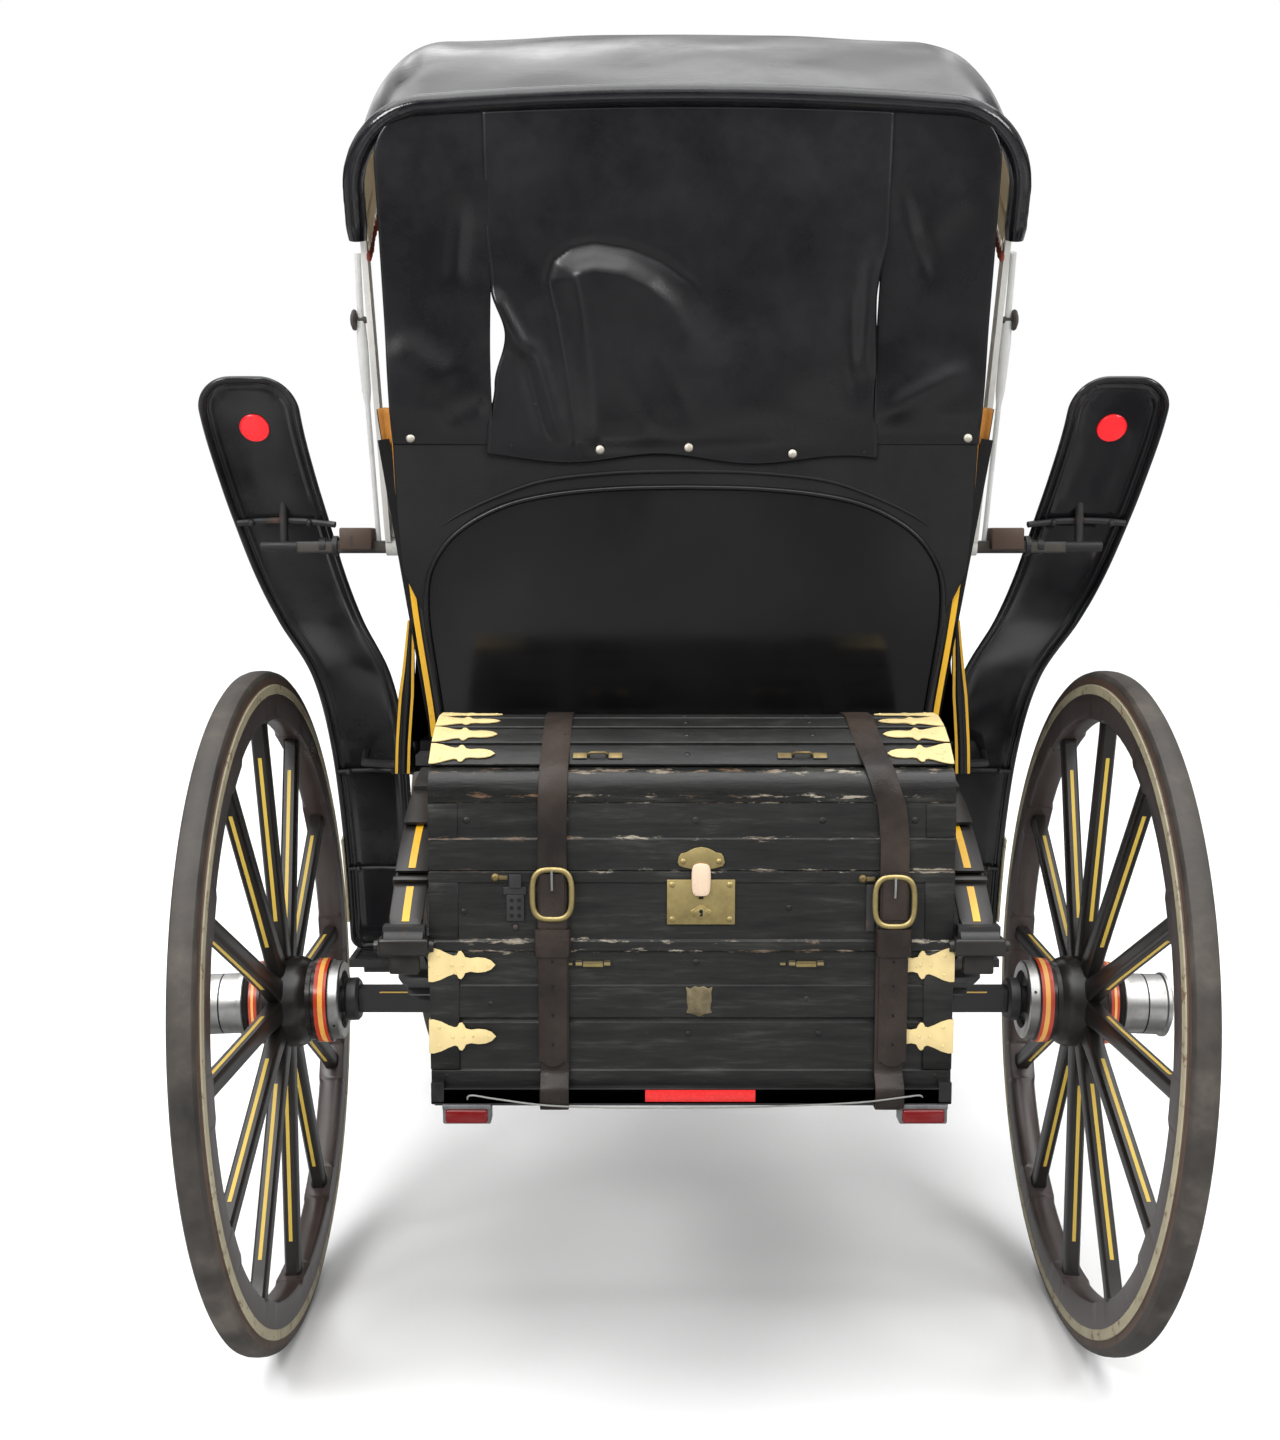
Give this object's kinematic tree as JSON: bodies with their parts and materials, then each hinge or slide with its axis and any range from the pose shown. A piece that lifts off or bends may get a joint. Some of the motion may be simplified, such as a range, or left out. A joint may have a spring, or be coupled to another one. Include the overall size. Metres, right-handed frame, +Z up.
{
  "type": "hooded horse-drawn phaeton carriage",
  "caption": "Four-wheeled horse-drawn phaeton with a folding-type leather hood, curved mudguards, a domed trunk on its rear rack and drop-down shafts.",
  "frame": {"origin": "on the floor, at the middle of the whole length and width", "axes": "+Z up, +Y forward towards the shafts, +X to the right side"},
  "size_m": [1.5588, 4.137, 2.1579],
  "materials": {
    "black_gloss": "glossy black coach paint",
    "bow_paint": "pale painted ash",
    "brass": "dull brass",
    "iron": "black painted iron",
    "leather_black": "black hood leather",
    "leather_tan": "tan leather",
    "lining": "cream cloth",
    "reflector": "red lens",
    "steel": "worn steel",
    "strap_leather": "dark brown strap leather",
    "trunk_canvas": "black painted canvas over wood",
    "tyre_rubber": "worn grey-brown rubber",
    "wheel_paint": "black and maroon painted wood"
  },
  "bodies": {
    "root": {"rear_axle": "iron", "rear_springs": "iron", "front_spring": "iron", "spring_seats": "iron", "fifth_wheel_upper": "iron", "head_block": "wheel_paint", "king_bolt": "iron", "body_sides": "black_gloss", "body_floor": "black_gloss", "seat_box": "black_gloss", "heel_board": "black_gloss", "back_panel": "black_gloss", "dash": "leather_black", "whip_socket": "leather_black", "seat_cushion": "leather_tan", "back_cushion": "leather_tan", "hood_bows": "bow_paint", "hood_leather": "leather_black", "mudguards": "black_gloss", "steps": "iron", "trunk_rack": "iron", "trunk_base": "trunk_canvas", "hood_roll": "leather_black", "rear_curtain": "leather_black", "prop_irons": "iron", "landau_joints": "bow_paint", "guard_irons": "iron", "step_irons": "iron", "hood_rests": "leather_tan", "valance": "lining", "tail_lamps": "black_gloss", "reflectors": "reflector", "base_fittings": "brass", "strap_lowers": "strap_leather", "trunk_hinges": "iron"},
    "fore_carriage": {"front_axle": "iron", "bolster": "wheel_paint", "fifth_wheel_lower": "iron", "shaft_couplings": "iron"},
    "shafts": {"shaft_right": "wheel_paint", "shaft_left": "wheel_paint", "splinter_bar": "wheel_paint"},
    "lid": {"trunk_lid": "trunk_canvas", "strap_uppers": "strap_leather", "strap_buckles": "brass", "lid_fittings": "brass"},
    "rear_wheel_left": {"wheel_rear_left": "wheel_paint", "tyre_rear_left": "tyre_rubber", "hub_metal_rear_left": "steel"},
    "rear_wheel_right": {"wheel_rear_right": "wheel_paint", "tyre_rear_right": "tyre_rubber", "hub_metal_rear_right": "steel"},
    "front_wheel_left": {"wheel_front_left": "wheel_paint", "tyre_front_left": "tyre_rubber", "hub_metal_front_left": "steel"},
    "front_wheel_right": {"wheel_front_right": "wheel_paint", "tyre_front_right": "tyre_rubber", "hub_metal_front_right": "steel"}
  },
  "joints": [
    {"name": "steering", "type": "hinge", "parent": "root", "child": "fore_carriage", "pos_m": [0, -0.059, 0.5], "axis": [0, 0, 1], "range_deg": [-25, 25]},
    {"name": "shaft_lift", "type": "hinge", "parent": "fore_carriage", "child": "shafts", "pos_m": [0, 0.019, 0.43], "axis": [1, 0, 0], "range_deg": [0, 30]},
    {"name": "trunk_lid_hinge", "type": "hinge", "parent": "root", "child": "lid", "pos_m": [0, -1.6087, 0.83], "axis": [-1, 0, 0], "range_deg": [0, 30]},
    {"name": "spin_rear_left", "type": "hinge", "parent": "root", "child": "rear_wheel_left", "pos_m": [-0.641, -1.539, 0.533], "axis": [0.9993, 0, 0.0384], "continuous": true},
    {"name": "spin_rear_right", "type": "hinge", "parent": "root", "child": "rear_wheel_right", "pos_m": [0.641, -1.539, 0.533], "axis": [0.9993, 0, -0.0384], "continuous": true},
    {"name": "spin_front_left", "type": "hinge", "parent": "fore_carriage", "child": "front_wheel_left", "pos_m": [-0.556, -0.059, 0.43], "axis": [0.9993, 0, 0.0384], "continuous": true},
    {"name": "spin_front_right", "type": "hinge", "parent": "fore_carriage", "child": "front_wheel_right", "pos_m": [0.556, -0.059, 0.43], "axis": [0.9993, 0, -0.0384], "continuous": true}
  ]
}
